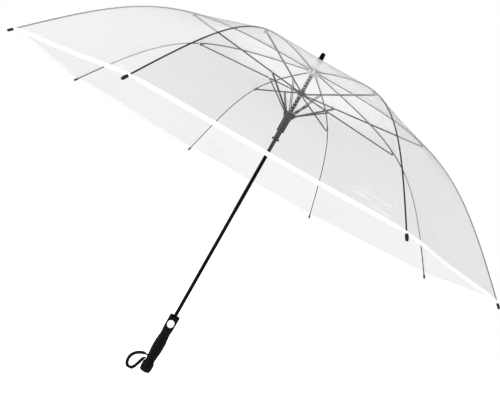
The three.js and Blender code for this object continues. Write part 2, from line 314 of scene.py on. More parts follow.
def speckle(tree, size, detail):
    """A noise over the object's own coordinates, its grains about this many metres across."""
    spot = node(tree, "ShaderNodeTexCoord", {})
    return node(tree, "ShaderNodeTexNoise", {
        "Vector": spot.outputs["Object"], "Scale": 1 / size, "Detail": detail,
    })


def ranged(tree, noise, low, high):
    """A noise's middle, 0.3 to 0.7, spread from low to high."""
    return node(tree, "ShaderNodeMapRange", {
        "Value": noise.outputs["Fac"], "From Min": 0.3, "From Max": 0.7, "To Min": low, "To Max": high,
    })


def mottled(tree, noise, dark, pale):
    """A colour that a texture takes from one hex code to another."""
    return node(tree, "ShaderNodeMixRGB", {
        "Fac": noise.outputs["Fac"], "Color1": tint(dark), "Color2": tint(pale),
    })


def product(tree, first, second):
    """One value times another."""
    return node(tree, "ShaderNodeMath", {0: first, 1: second}, operation="MULTIPLY")


def braided_nylon(tree):
    """Dyed black nylon braid: soft and dull, with slanting strands 1.3 mm apart."""
    place = node(tree, "ShaderNodeUVMap", {}, uv_map="metres")
    slant = node(tree, "ShaderNodeMapping", {
        "Vector": place.outputs["UV"], "Rotation": (0, 0, math.radians(38)),
    })
    strands = node(tree, "ShaderNodeTexWave", {
        "Vector": slant.outputs["Vector"], "Scale": wave_scale(1.3 * MM),
        "Distortion": 1.2, "Detail": 2.0,
    })
    colour = mottled(tree, strands, "#050506", "#171719")
    relief = node(tree, "ShaderNodeBump", {
        "Height": strands.outputs["Fac"], "Strength": 0.7, "Distance": 0.3 * MM,
    })
    return node(tree, "ShaderNodeBsdfPrincipled", {
        "Base Color": colour.outputs["Color"], "Roughness": 0.82, "Specular IOR Level": 0.12,
        "Normal": relief.outputs["Normal"],
    })


strap_path = smooth_through(STRAP_ROUTE, 8)
strap_share = np.linspace(0, 1, len(strap_path))[:, None]
strap_turn = np.pi / 2 * (eased(strap_share, 0, 0.14) + eased(strap_share, 0.86, 1))
strap_flat = np.cross(unit(np.gradient(strap_path, axis=0)), [0, 1, 0])
strap_side = np.cos(strap_turn) * [0, 1, 0] + np.sin(strap_turn) * strap_flat
strap = piece(
    "wrist_strap_cord", [swept(strap_path, circle(STRAP_WIDTH / 2, 24, 0.45), strap_side)],
    material("braided_nylon", braided_nylon), "root", ["wrist_strap"],
)

# ---------------------------------------------------------------- handle
# Injection-moulded ABS with a soft black coating: a knob, a swelling grip, a waist and a
# squarish collar whose socket takes the runner's sleeve. It is pushed onto the shaft and pinned.
collar_low, collar_high = (np.array(corner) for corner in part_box("handle_grip"))
HANDLE_TOP = collar_high[2] - LOWER_END
GRIP_OUTLINE = np.array([
    [5.3, 14.8], [6.3, 15.3], [8, 15.6], [14, 15.7], [20.5, 15.6], [22.4, 15], [24.2, 13.6],
    [26, 12.7], [29, 12.3], [33, 12.3], [41, 13], [55, 14.5], [68, 15.3], [80, 15.3], [95, 13.8],
    [106, 12.8], [114, 12.9], [122, 13.5], [128, 13.8], [140, 13.9], [157, 13.9], [158.7, 13.5],
    [159.4, 12.9],
]) * MM
SOCKET_RADIUS = 11.6 * MM
SOCKET_FLOOR = 119 * MM
SHAFT_BORE = 5.4 * MM
RING_POINTS = 145


def squared_ring(height, radius):
    """A ring of the handle: a superellipse |x/a|^n + |y/b|^n = 1. It is round low down and
    nearly square at the collar, whose front stands further out than its back."""
    angle = np.linspace(0, 2 * np.pi, RING_POINTS)
    collar = eased(height, 104 * MM, 127 * MM)
    power = 2 + 3.2 * collar
    front = radius + collar * (-collar_low[1] - 14 * MM)
    across, deep = np.cos(angle), np.sin(angle)
    size = (np.abs(across) ** power + np.abs(deep) ** power) ** (-1 / power)
    depth = np.where(deep < 0, front, radius)
    level = np.full(RING_POINTS, LOWER_END + height)
    return np.stack([radius * size * across, depth * size * deep, level], -1)


def round_ring(height, radius):
    """A circle about the shaft at a height on the handle."""
    angle = np.linspace(0, 2 * np.pi, RING_POINTS)
    level = np.full(RING_POINTS, LOWER_END + height)
    return np.stack([radius * np.cos(angle), radius * np.sin(angle), level], -1)


def moulded_abs(tree):
    """Soft-coated black ABS: a fine cross-hatched grain 1.2 mm apart on the grip, and a faint
    mottling of the coating."""
    place = node(tree, "ShaderNodeUVMap", {}, uv_map="metres")
    hatch = [node(tree, "ShaderNodeTexWave", {
        "Vector": node(tree, "ShaderNodeMapping", {
            "Vector": place.outputs["UV"], "Rotation": (0, 0, math.radians(way)),
        }).outputs["Vector"], "Scale": wave_scale(1.2 * MM),
    }) for way in (45, -45)]
    crossed = node(tree, "ShaderNodeMath", {
        0: hatch[0].outputs["Fac"], 1: hatch[1].outputs["Fac"],
    }, operation="MULTIPLY")
    spot = node(tree, "ShaderNodeTexCoord", {})
    height = node(tree, "ShaderNodeSeparateXYZ", {"Vector": spot.outputs["Object"]})
    grip_low = node(tree, "ShaderNodeMapRange", {
        "Value": height.outputs["Z"], "From Min": LOWER_END + 34 * MM, "From Max": LOWER_END + 40 * MM,
    })
    grip_high = node(tree, "ShaderNodeMapRange", {
        "Value": height.outputs["Z"], "From Min": LOWER_END + 114 * MM, "From Max": LOWER_END + 108 * MM,
    })
    grip = product(tree, grip_low.outputs["Result"], grip_high.outputs["Result"])
    knurl = product(tree, crossed.outputs["Value"], grip.outputs["Value"])
    grain = speckle(tree, 0.7 * MM, 3.0)
    mottle = speckle(tree, 14 * MM, 4.0)
    colour = mottled(tree, mottle, "#030303", "#0b0b0c")
    rough = ranged(tree, mottle, 0.46, 0.6)
    fine = node(tree, "ShaderNodeBump", {
        "Height": grain.outputs["Fac"], "Strength": 0.25, "Distance": 0.12 * MM,
    })
    relief = node(tree, "ShaderNodeBump", {
        "Height": knurl.outputs["Value"], "Strength": 0.8, "Distance": 0.3 * MM,
        "Normal": fine.outputs["Normal"],
    })
    return node(tree, "ShaderNodeBsdfPrincipled", {
        "Base Color": colour.outputs["Color"], "Roughness": rough.outputs["Result"],
        "Specular IOR Level": 0.08, "Normal": relief.outputs["Normal"],
    })


handle_abs = material("soft_coated_abs", moulded_abs)
grip_line = smooth_through(GRIP_OUTLINE, 6)
handle_rings = [squared_ring(z, r) for z, r in grip_line]
handle_rings += [
    round_ring(HANDLE_TOP, SOCKET_RADIUS + 0.5 * MM), round_ring(HANDLE_TOP - 0.5 * MM, SOCKET_RADIUS),
    round_ring(SOCKET_FLOOR, SOCKET_RADIUS), round_ring(SOCKET_FLOOR, SHAFT_BORE),
    round_ring(30 * MM, SHAFT_BORE), round_ring(9 * MM, 4 * MM), round_ring(5.3 * MM, 9.4 * MM),
]
handle_rings.append(handle_rings[0])
handle = piece("handle", [np.array(handle_rings)], handle_abs, None)


def plate(outline, low, high, bevel):
    """A flat plate from a closed outline in x and y: it is drawn in at both faces by the bevel
    along the outline's own normals, and each face closes at the outline's middle."""
    ahead, behind = np.roll(outline[:-1], -1, 0), np.roll(outline[:-1], 1, 0)
    line = unit(ahead - behind)
    inset = outline[:-1] - bevel * np.stack([line[:, 1], -line[:, 0]], -1)
    inset = np.concatenate([inset, inset[:1]])
    middle = np.broadcast_to(outline[:-1].mean(0), outline.shape)
    steps = [(middle, low), (inset, low), (outline, low + bevel), (outline, high - bevel),
             (inset, high), (middle, high)]
    return np.stack([np.column_stack([flat, np.full(len(flat), z)]) for flat, z in steps])


def faced_front(grid, height):
    """Stands a flat plate upright, facing the button's side, at a height on the handle."""
    x, y, z = grid[..., 0], grid[..., 1], grid[..., 2]
    return np.stack([x, -z, y + LOWER_END + height], -1)


def cut(target, cutter, sharp=32):
    """Takes the cutter's shape out of the target for good. Edges turn sharp above an angle in
    degrees."""
    tool = target.modifiers.new("cut", "BOOLEAN")
    tool.object = cutter
    tool.solver = "EXACT"
    bpy.context.view_layer.update()
    shaped = bpy.data.meshes.new_from_object(target.evaluated_get(bpy.context.evaluated_depsgraph_get()))
    target.modifiers.clear()
    old = target.data
    target.data = shaped
    shaped.name = old.name
    bpy.data.meshes.remove(old)
    bpy.data.objects.remove(cutter)
    shaped.shade_smooth()
    shaped.set_sharp_from_angle(angle=math.radians(sharp))


def blank(name, grids):
    """A bare object used only to cut with."""
    points, faces = gathered(grids)[:2]
    mesh = bpy.data.meshes.new(name)
    mesh.from_pydata(points.tolist(), [], faces.tolist())
    heal(mesh, False)
    made = bpy.data.objects.new(name, mesh)
    scene.collection.objects.link(made)
    return made


BUTTON_ACROSS, BUTTON_TALL = 9.3 * MM, 10.6 * MM
button_low, button_high = (np.array(corner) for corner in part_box("push_button"))
BUTTON_HEIGHT = (button_low[2] + button_high[2]) / 2 - LOWER_END


def oval(grow, sides=96):
    """The button's outline, made larger all round by grow."""
    return circle(1, sides) * [BUTTON_ACROSS + grow, BUTTON_TALL + grow]


pocket = faced_front(plate(oval(0.4 * MM), 12.9 * MM, 25 * MM, 0.1 * MM), BUTTON_HEIGHT)
cut(handle, blank("pocket", [pocket]))
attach(handle, "root")
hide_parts("handle_grip")

# The knob's plug, pressed into the lower end, with a turned recess.
plug_profile = np.array([
    [0, 0.5], [7.5, 0.5], [8.3, 0], [13.2, 0], [14.1, 0.7], [14.6, 2], [14.8, 5], [9, 5], [9, 8], [0, 8],
]) * MM


def turned(profile, sides=96):
    """A profile of radius and height turned about the shaft: x = r cos a, y = r sin a."""
    angle = np.linspace(0, 2 * np.pi, sides + 1)
    r, z = profile[:, :1], profile[:, 1:]
    return np.stack([r * np.cos(angle), r * np.sin(angle), np.broadcast_to(z, (len(r), sides + 1))], -1)


def at_height(grid, height):
    """Points raised by a height."""
    return grid + [0, 0, height]


piece("handle_plug", [at_height(turned(plug_profile), LOWER_END)], handle_abs, "root",
      ["handle_end_cap"])

# Two small moulded eyelets where the strap goes into the neck.
eyelets = []
EYELET_RADIUS = 3.1 * MM
EYELET_BEAD = 0.7 * MM
for mouth in (strap_path[0], strap_path[-1]):
    angle = np.linspace(0, 2 * np.pi, 33)[:, None]
    rim = (mouth + [0.2 * MM, 0, 0]
           + EYELET_RADIUS * (np.cos(angle) * [0, 1, 0] + np.sin(angle) * [0, 0, 1]))
    ring = rim[:, None] + EYELET_BEAD * np.stack([
        np.cos(phase) * (rim - rim.mean(0)) / EYELET_RADIUS + np.sin(phase) * np.array([1, 0, 0])
        for phase in np.linspace(0, 2 * np.pi, 13)
    ], 1)
    eyelets.append(ring)
piece("strap_eyelets", eyelets, handle_abs, "root")

# ---------------------------------------------------------------- push button
# A glossy white moulded oval with a rounded edge and a shallow thumb dish. It slides in the
# collar's pocket.
def polished_abs(tree):
    """White high-gloss ABS, with the faintest cloudiness."""
    cloud = speckle(tree, 9 * MM, 2.0)
    colour = mottled(tree, cloud, "#cdcecf", "#dedfdf")
    return node(tree, "ShaderNodeBsdfPrincipled", {
        "Base Color": colour.outputs["Color"], "Roughness": 0.14, "Coat Weight": 0.6,
        "Coat Roughness": 0.05,
    })


button_steps = np.array([
    [0.0, -14.9], [1.0, -14.9], [1.0, -17.9], [0.985, -18.35], [0.95, -18.65], [0.9, -18.85],
    [0.82, -18.95], [0.74, -18.85], [0.6, -18.5], [0.4, -18.1], [0.2, -17.9], [0.0, -17.85],
])
button_grid = np.stack([
    np.column_stack([oval(0)[:, 0] * share, np.full(97, depth * MM), oval(0)[:, 1] * share + LOWER_END
                     + BUTTON_HEIGHT]) for share, depth in button_steps
])
piece("button_face", [button_grid], material("polished_white_abs", polished_abs), "push_button",
      ["push_button"], sharp=50)

# ---------------------------------------------------------------- shaft
# Drawn steel tube, 10 mm across, stoved with black gloss enamel.
def gloss_enamel(tree):
    """Black stoving enamel over steel: smooth, with a weak mirror and a slight orange peel 3 mm
    across."""
    peel = speckle(tree, 3 * MM, 2.0)
    haze = speckle(tree, 35 * MM, 4.0)
    rough = ranged(tree, haze, 0.07, 0.13)
    relief = node(tree, "ShaderNodeBump", {
        "Height": peel.outputs["Fac"], "Strength": 0.06, "Distance": 0.05 * MM,
    })
    return node(tree, "ShaderNodeBsdfPrincipled", {
        "Base Color": tint("#050506"), "Roughness": rough.outputs["Result"],
        "Specular IOR Level": 0.06, "Normal": relief.outputs["Normal"],
    })


enamel = material("black_gloss_enamel", gloss_enamel)
shaft_low, shaft_high = (corner[2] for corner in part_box("shaft_tube"))
tube_profile = np.array([
    [4.1 * MM, shaft_low], [4.8 * MM, shaft_low], [5 * MM, shaft_low + 0.3 * MM],
    *[[5 * MM, z] for z in np.linspace(shaft_low, shaft_high, 60)[1:-1]],
    [5 * MM, shaft_high - 0.3 * MM], [4.8 * MM, shaft_high], [4.1 * MM, shaft_high], [4.1 * MM, shaft_low],
])
piece("shaft", [turned(tube_profile, 64)], enamel, "root", ["shaft_tube"])

# ---------------------------------------------------------------- top notch, hub and runner
# The notch is frosted polypropylene, the hub and runner glass-filled nylon. Each has eight
# slots, and a steel wire ring threads the links.
pivots = {j["name"]: np.array(j["pos_m"]) for j in frame["joints"] if j["type"] == "hinge"}
RIB_COUNT = 8
AZIMUTHS = np.array([math.atan2(pivots[f"rib_root_{i + 1}"][1], pivots[f"rib_root_{i + 1}"][0])
                     for i in range(RIB_COUNT)])
LINK_OFFSET = 4.4 * MM


def spun(grid, angle):
    """Turns points about the shaft: x cos a - y sin a, x sin a + y cos a."""
    x, y, z = grid[..., 0], grid[..., 1], grid[..., 2]
    return np.stack([x * np.cos(angle) - y * np.sin(angle), x * np.sin(angle) + y * np.cos(angle), z], -1)


def box_grid(low, high):
    """A closed block as a plate with a square outline."""
    corners = np.array([[low[0], low[1]], [high[0], low[1]], [high[0], high[1]], [low[0], high[1]],
                        [low[0], low[1]]])
    flat = np.broadcast_to(corners[:-1].mean(0), corners.shape)
    return np.stack([np.column_stack([p, np.full(5, z)])
                     for p, z in ((flat, low[2]), (corners, low[2]), (corners, high[2]), (flat, high[2]))])


def slotted(name, profile, low, high, finish, body, node_name):
    """A turned moulding with a block-shaped slot cut for every rib."""
    made = piece(name, [turned(profile, 96)], finish, None)
    cut(made, blank("slots", [spun(box_grid(low, high), a) for a in AZIMUTHS]))
    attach(made, body)
    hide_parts(node_name)
    return made


def filled_nylon(tree):
    """Black glass-filled nylon, satin from the mould, with a fine fibre fleck."""
    fleck = speckle(tree, 1.1 * MM, 3.0)
    colour = mottled(tree, fleck, "#070708", "#18181a")
    relief = node(tree, "ShaderNodeBump", {
        "Height": fleck.outputs["Fac"], "Strength": 0.2, "Distance": 0.1 * MM,
    })
    return node(tree, "ShaderNodeBsdfPrincipled", {
        "Base Color": colour.outputs["Color"], "Roughness": 0.38, "Specular IOR Level": 0.3,
        "Normal": relief.outputs["Normal"],
    })


nylon = material("black_filled_nylon", filled_nylon)


def frosted_plastic(tree):
    """Milky polypropylene: light sinks in a little, and the moulded skin is finely matted."""
    skin = speckle(tree, 1.6 * MM, 2.0)
    rough = ranged(tree, skin, 0.32, 0.48)
    relief = node(tree, "ShaderNodeBump", {
        "Height": skin.outputs["Fac"], "Strength": 0.15, "Distance": 0.1 * MM,
    })
    return node(tree, "ShaderNodeBsdfPrincipled", {
        "Base Color": tint("#dcdfe0"), "Roughness": rough.outputs["Result"], "Alpha": 0.82,
        "Normal": relief.outputs["Normal"],
    })


frosted = material("frosted_polypropylene", frosted_plastic)
NOTCH_HEIGHT = pivots["rib_root_1"][2]
HUB_HEIGHT = pivots["stretcher_pivot_1"][2]
RUNNER_HEIGHT = pivots["strut_pivot_1"][2]


def lifted(profile, height):
    """A profile given in millimetres about a pivot, moved up to that pivot's height."""
    return np.array(profile) * MM + [0, height]


notch_profile = lifted([
    [5.4, -9], [16.2, -9], [17, -8.2], [17, 3.9], [16.2, 4.8], [5.4, 4.8], [5.4, -9],
], NOTCH_HEIGHT)
slotted("top_notch_moulding", notch_profile,
        np.array([9.6 * MM, -2.3 * MM, NOTCH_HEIGHT - 12 * MM]),
        np.array([20 * MM, 2.3 * MM, NOTCH_HEIGHT + 2.6 * MM]), frosted, "root",
        "top_notch")

hub_profile = lifted([
    [5.4, -6], [8.6, -6], [9.2, -5.4], [9.2, -4.2], [11.4, -3.4], [12, -2.6], [12, 5.2], [11.3, 6],
    [5.4, 6], [5.4, -6],
], HUB_HEIGHT)
slotted("floating_hub", hub_profile,
        np.array([7.6 * MM, LINK_OFFSET - 1.6 * MM, HUB_HEIGHT - 3 * MM]),
        np.array([16 * MM, LINK_OFFSET + 1.6 * MM, HUB_HEIGHT + 12 * MM]), nylon, "mid_hub",
        "mid_hub")

runner_profile = lifted([
    [5.4, -81.5], [6.7, -81.5], [7, -81.2], [9.9, -80.8], [10.6, -80.1], [10.6, -76.4], [9.9, -75.7],
    [7.2, -75], [7, -74.6], [7, -55.5], [7.4, -54.7], [9.9, -54.4], [10.5, -53.8], [10.5, -48.6],
    [10.1, -48.2], [10.1, -46.6], [10.5, -46.2], [10.5, -21], [10.8, -18.6], [11.6, -14],
    [13.4, -9], [16.2, -6.4], [17.1, -5], [17.2, 2.2], [16.6, 3], [5.4, 3], [5.4, -81.5],
], RUNNER_HEIGHT)
slotted("runner_slider", runner_profile,
        np.array([12.6 * MM, LINK_OFFSET - 3.15 * MM, RUNNER_HEIGHT - 3 * MM]),
        np.array([24 * MM, LINK_OFFSET + 3.15 * MM, RUNNER_HEIGHT + 6 * MM]), nylon, "runner",
        "runner")


def bright_steel(tree):
    """Drawn spring steel: grey metal with faint streaks along the wire."""
    place = node(tree, "ShaderNodeUVMap", {}, uv_map="metres")
    streak = node(tree, "ShaderNodeTexNoise", {
        "Vector": node(tree, "ShaderNodeMapping", {
            "Vector": place.outputs["UV"], "Scale": (1 / (0.3 * MM), 1 / (12 * MM), 1),
        }).outputs["Vector"], "Scale": 1.0, "Detail": 3.0,
    })
    rough = ranged(tree, streak, 0.22, 0.4)
    return node(tree, "ShaderNodeBsdfPrincipled", {
        "Base Color": tint("#c9cacc"), "Metallic": 1.0, "Roughness": rough.outputs["Result"],
    })


steel = material("drawn_spring_steel", bright_steel)


def hoop(radius, height, wire):
    """A wire ring about the shaft."""
    angle = np.linspace(0, 2 * np.pi, 97)
    spoke = np.stack([np.cos(angle), np.sin(angle), 0 * angle], -1)
    phase = np.linspace(0, 2 * np.pi, 11)
    return (radius * spoke[:, None] + [0, 0, height]
            + wire * (np.cos(phase)[None, :, None] * spoke[:, None]
                      + np.sin(phase)[None, :, None] * np.array([0, 0, 1])))


for ring_name, ring_body, ring_radius, ring_height in (
    ("notch_wire", "root", np.hypot(*pivots["rib_root_1"][:2]), NOTCH_HEIGHT),
    ("hub_wire", "mid_hub", 10.9 * MM, HUB_HEIGHT),
    ("runner_wire", "runner", 15.6 * MM, RUNNER_HEIGHT),
):
    piece(ring_name, [hoop(ring_radius, ring_height, 0.55 * MM)], steel, ring_body)

# ---------------------------------------------------------------- springs
# Two coils of 1.5 mm plated wire on the shaft. The lower one is squeezed between runner and hub
# when the umbrella is shut; the upper one cushions the hub as it flies open.
COIL_RADIUS = 6.4 * MM
WIRE_RADIUS = 0.75 * MM


def coil(low, high, turns):
    """A helix whose end turns lie flat: the climb per turn eases in and out over one turn."""
    turn = np.linspace(0, turns, turns * 28 + 1)
    climb = 0.18 + eased(turn, 0.6, 1.6) * (1 - eased(turn, turns - 1.6, turns - 0.6))
    rise = np.concatenate([[0], np.cumsum((climb[1:] + climb[:-1]) / 2)])
    angle = 2 * np.pi * turn
    spoke = np.stack([np.cos(angle), np.sin(angle), 0 * angle], -1)
    path = COIL_RADIUS * spoke + (low + (high - low) * rise / rise[-1])[:, None] * [0, 0, 1]
    return swept(path, circle(WIRE_RADIUS, 10), spoke)


for spring_name, body_name, turns in (("opening_spring", "runner", 7), ("buffer_spring", "root", 7)):
    low, high = (corner[2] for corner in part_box(spring_name))
    made = piece(f"{spring_name}_coil", [coil(low + WIRE_RADIUS, high - WIRE_RADIUS, turns)], steel,
                 body_name, [spring_name], sharp=60)
    if spring_name == "opening_spring":
        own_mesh(made)

# ---------------------------------------------------------------- ferrule and crown washer
# Outside the canopy the shaft ends in a tapered ferrule, enamelled like the shaft. It holds down
# a frosted polypropylene washer that clamps the middle of the film against the notch.
ferrule_low, ferrule_high = (corner[2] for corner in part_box("ferrule"))
ferrule_profile = smooth_through(np.array([
    [7.6, 0], [7.85, 1], [7.8, 2.4], [7.2, 10], [6.6, 18], [6.1, 25.5], [5.7, 28.6], [4.9, 30.1],
    [3.4, 30.45], [0, 30.5],
]), 5) * MM
ferrule_profile = np.concatenate([[[5.2 * MM, 4 * MM], [5.2 * MM, 0]], ferrule_profile])
ferrule_profile[:, 1] = np.minimum(ferrule_profile[:, 1] + ferrule_low, ferrule_high)
ferrule_profile = np.concatenate([[[0, ferrule_low + 4.6 * MM]], ferrule_profile])
piece("ferrule_cap", [turned(ferrule_profile, 64)], enamel, "root", ["ferrule"])

washer_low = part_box("crown_washer")[0][2]
washer_profile = np.array([
    [5.4, 0], [21.4, 0], [22, 0.4], [21.8, 0.9], [20.6, 1.3], [17, 2.2], [13.4, 3.4], [11, 4.4],
    [9.8, 5.6], [9.1, 8], [8.6, 13], [8.3, 18], [8.2, 20.6], [7.8, 21.3], [5.4, 21.3], [5.4, 0],
]) * MM + [0, washer_low]
piece("crown_collar", [turned(washer_profile, 96)], frosted,
      "root", ["crown_washer"])

# ---------------------------------------------------------------- ribs
# Eight fibreglass rods, 3 mm across, hooked on the notch's wire. They are nearly straight near
# the notch and bend over half way; each ends in a moulded cap that holds the hem.
RIB_ARC = 770 * MM
RIB_RADIUS = 1.5 * MM
joint_reach = np.hypot(*pivots["rib_flex_1"][:2])


def rib_slope(arc):
    """Degrees 5 + 44.5 / (1 + e^(-8.7 (s - 0.53))) below level, s being the share of the rib."""
    return np.radians(5 + 44.5 / (1 + np.exp(-8.7 * (arc / RIB_ARC - 0.53))))


RIB_STEP = 0.5 * MM
rib_arcs = np.arange(0, 790, 0.5) * MM
rib_middle = rib_slope(rib_arcs[:-1] + RIB_STEP / 2)
rib_run, rib_fall = (np.concatenate([[0], np.cumsum(RIB_STEP * part)])
                     for part in (np.cos(rib_middle), np.sin(rib_middle)))
rib_out = np.hypot(*pivots["rib_root_1"][:2]) + rib_run
rib_up = NOTCH_HEIGHT - rib_fall
JOINT_ARC = float(np.interp(joint_reach, rib_out, rib_arcs))


def rib_point(arc, above=0.0):
    """A point of a rib in its own upright plane (out, 0, up), lifted square to the rib."""
    slope = rib_slope(np.asarray(arc, float))
    out = np.interp(arc, rib_arcs, rib_out) + np.minimum(arc, 0) + above * np.sin(slope)
    up = np.interp(arc, rib_arcs, rib_up) + above * np.cos(slope)
    return np.stack([out, 0 * out, up], -1)


def rod(start, end, radius, sides=20):
    """A round pin between two points, its rims broken by a small bevel."""
    start, end = np.asarray(start, float), np.asarray(end, float)
    along = unit(end - start)
    side = np.array([0.0, 0, 1]) if abs(along[2]) < 0.9 else np.array([1.0, 0, 0])
    return swept(np.stack([start, (start + end) / 2, end]), circle(radius, sides), side, 0.25)


def drawn_fibreglass(tree):
    """Pultruded rod in dark grey resin, with glass strands running along it."""
    place = node(tree, "ShaderNodeUVMap", {}, uv_map="metres")
    strand = node(tree, "ShaderNodeTexNoise", {
        "Vector": node(tree, "ShaderNodeMapping", {
            "Vector": place.outputs["UV"], "Scale": (1 / (0.5 * MM), 1 / (40 * MM), 1),
        }).outputs["Vector"], "Scale": 1.0, "Detail": 3.0,
    })
    colour = mottled(tree, strand, "#0a0a0b", "#1c1c1e")
    return node(tree, "ShaderNodeBsdfPrincipled", {
        "Base Color": colour.outputs["Color"], "Roughness": 0.36, "Specular IOR Level": 0.25,
    })


def black_steel(tree):
    """Pressed steel under thin black enamel, rubbed a little grey on its faces."""
    rub = speckle(tree, 22 * MM, 5.0)
    colour = mottled(tree, rub, "#121213", "#2a2b2d")
    rough = ranged(tree, rub, 0.28, 0.42)
    return node(tree, "ShaderNodeBsdfPrincipled", {
        "Base Color": colour.outputs["Color"], "Roughness": rough.outputs["Result"],
    })


fibreglass = material("drawn_fibreglass", drawn_fibreglass)
enamelled_steel = material("black_enamelled_steel", black_steel)
ACROSS = np.array([0.0, 1, 0])
rib_path = rib_point(np.linspace(0, RIB_ARC, 111))
cap_path = rib_point(np.array([766.5, 768, 771, 775, 778, 778.8]) * MM)
cap_swell = np.array([2.7, 3.1, 3.1, 3.05, 2.9, 2.2]) / 2.7
clip_path = rib_point(np.linspace(JOINT_ARC - 12 * MM, JOINT_ARC - 1 * MM, 7), -0.75 * MM)
lug_pivot = rib_point(JOINT_ARC) - [0, 0, 4.5 * MM]



def bend_with_rib(made):
    """Bakes the object's placement into its mesh."""
    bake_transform(made)


for i, azimuth in enumerate(AZIMUTHS):
    number = i + 1
    rib = piece(
        f"rib_rod_{number}", [spun(swept(rib_path, circle(RIB_RADIUS, 14), ACROSS), azimuth)],
        fibreglass, None, [f"rib_inner_{number}", f"rib_outer_{number}"],
    )
    bend_with_rib(rib)

    # The hooked end on the notch's wire, and the crimped clip with its riveted lug.
    hook = rod(rib_path[0] - 1.9 * MM * ACROSS, rib_path[0] + 1.9 * MM * ACROSS, 2 * MM, 24)
    clip = swept(clip_path, circle(2.6 * MM, 24, 0.84), ACROSS, 0.12)
    lug = box_grid(lug_pivot + [-5.4 * MM, -1.1 * MM, -2.2 * MM], lug_pivot + [1.6 * MM, 1.1 * MM, 3.4 * MM])
    piece(f"rib_clip_{number}", [spun(grid, azimuth) for grid in (hook, clip, lug)],
          enamelled_steel, f"rib_inner_{number}")
    pin = [rod(lug_pivot - 2 * MM * ACROSS, lug_pivot + 6.3 * MM * ACROSS, 0.9 * MM, 16),
           rod(lug_pivot - 2.1 * MM * ACROSS, lug_pivot - 1.1 * MM * ACROSS, 1.6 * MM),
           rod(lug_pivot + 5.75 * MM * ACROSS, lug_pivot + 6.5 * MM * ACROSS, 1.5 * MM)]
    piece(f"rib_rivet_{number}", [spun(grid, azimuth) for grid in pin], steel,
          f"rib_inner_{number}")

    cap = swept(cap_path, circle(2.7 * MM, 24), ACROSS, 0.35)
    cap[2:-2] = cap_path[:, None] + (cap[2:-2] - cap_path[:, None]) * cap_swell[:, None, None]
    piece(f"rib_tip_{number}", [spun(cap, azimuth)], nylon, f"rib_outer_{number}")

# ---------------------------------------------------------------- stretchers and struts
# A stretcher is a folded steel channel from the floating hub to the rib's clip. A strut is a
# pair of pressed plates from the runner, riveted on either side of its stretcher.
STRUT_SPREAD = 2.3 * MM
hub_pivot = np.array([10 * MM, LINK_OFFSET, HUB_HEIGHT])
runner_pivot = np.array([15 * MM, LINK_OFFSET, RUNNER_HEIGHT])
stretcher_end = lug_pivot + LINK_OFFSET * ACROSS
strut_end = hub_pivot + (stretcher_end - hub_pivot) * 94 * MM / np.linalg.norm(stretcher_end - hub_pivot)


def between(start, end, at):
    """The point that far along from start to end, in metres."""
    return start + unit(end - start) * at


def strap_bar(start, end, half_depth, thickness, y):
    """A flat bar standing on edge, its ends rounded about the two pivots: a plate whose outline
    is two half circles, turned upright and leaned along the line between them."""
    length = np.linalg.norm(end - start)
    turn = np.linspace(np.pi / 2, 3 * np.pi / 2, 13)
    left = half_depth * np.stack([np.cos(turn), np.sin(turn)], -1)
    right = [length, 0] - left
    outline = np.concatenate([left, right, left[:1]])
    grid = plate(outline, -thickness / 2, thickness / 2, 0.12 * MM)
    along = unit(end - start)
    up = np.array([-along[2], 0, along[0]])
    return (start * [1, 0, 1] + y * ACROSS + grid[..., :1] * along + grid[..., 1:2] * up
            + grid[..., 2:] * ACROSS)


channel = np.array([
    [-1.3, -1.7], [-1.3, 1.35], [-0.95, 1.7], [0.95, 1.7], [1.3, 1.35], [1.3, -1.7], [0.85, -1.7],
    [0.85, 1.0], [0.6, 1.25], [-0.6, 1.25], [-0.85, 1.0], [-0.85, -1.7], [-1.3, -1.7],
]) * MM
stretcher_length = np.linalg.norm(stretcher_end - hub_pivot)
channel_path = np.stack([between(hub_pivot, stretcher_end, at)
                         for at in np.linspace(5 * MM, stretcher_length - 6 * MM, 9)])
for i, azimuth in enumerate(AZIMUTHS):
    number = i + 1
    stretcher_grids = [
        swept(channel_path, channel, ACROSS, 0.0),
        strap_bar(hub_pivot, between(hub_pivot, stretcher_end, 16 * MM), 1.7 * MM, 1.5 * MM, LINK_OFFSET),
        strap_bar(between(hub_pivot, stretcher_end, stretcher_length - 17 * MM), stretcher_end,
                  1.7 * MM, 1.5 * MM, LINK_OFFSET),
    ]
    piece(f"stretcher_channel_{number}", [spun(grid, azimuth) for grid in stretcher_grids],
          enamelled_steel, f"stretcher_{number}", [f"stretcher_{number}"])
    strut_grids = [strap_bar(runner_pivot, strut_end, 1.7 * MM, 0.9 * MM, LINK_OFFSET + side * STRUT_SPREAD)
                   for side in (-1, 1)]
    strut_grids.append(rod(between(runner_pivot, strut_end, 3 * MM) - STRUT_SPREAD * ACROSS,
                           between(runner_pivot, strut_end, 3 * MM) + STRUT_SPREAD * ACROSS, 0.9 * MM))
    piece(f"strut_plates_{number}", [spun(grid, azimuth) for grid in strut_grids],
          enamelled_steel, f"strut_{number}", [f"strut_{number}"])
    rivet = [rod(strut_end - 3.1 * MM * ACROSS, strut_end + 3.1 * MM * ACROSS, 1.0 * MM),
             *[rod(strut_end + side * 2.7 * MM * ACROSS, strut_end + side * 3.2 * MM * ACROSS, 1.5 * MM)
               for side in (-1, 1)]]
    piece(f"strut_rivet_{number}", [spun(grid, azimuth) for grid in rivet], steel,
          f"strut_{number}")

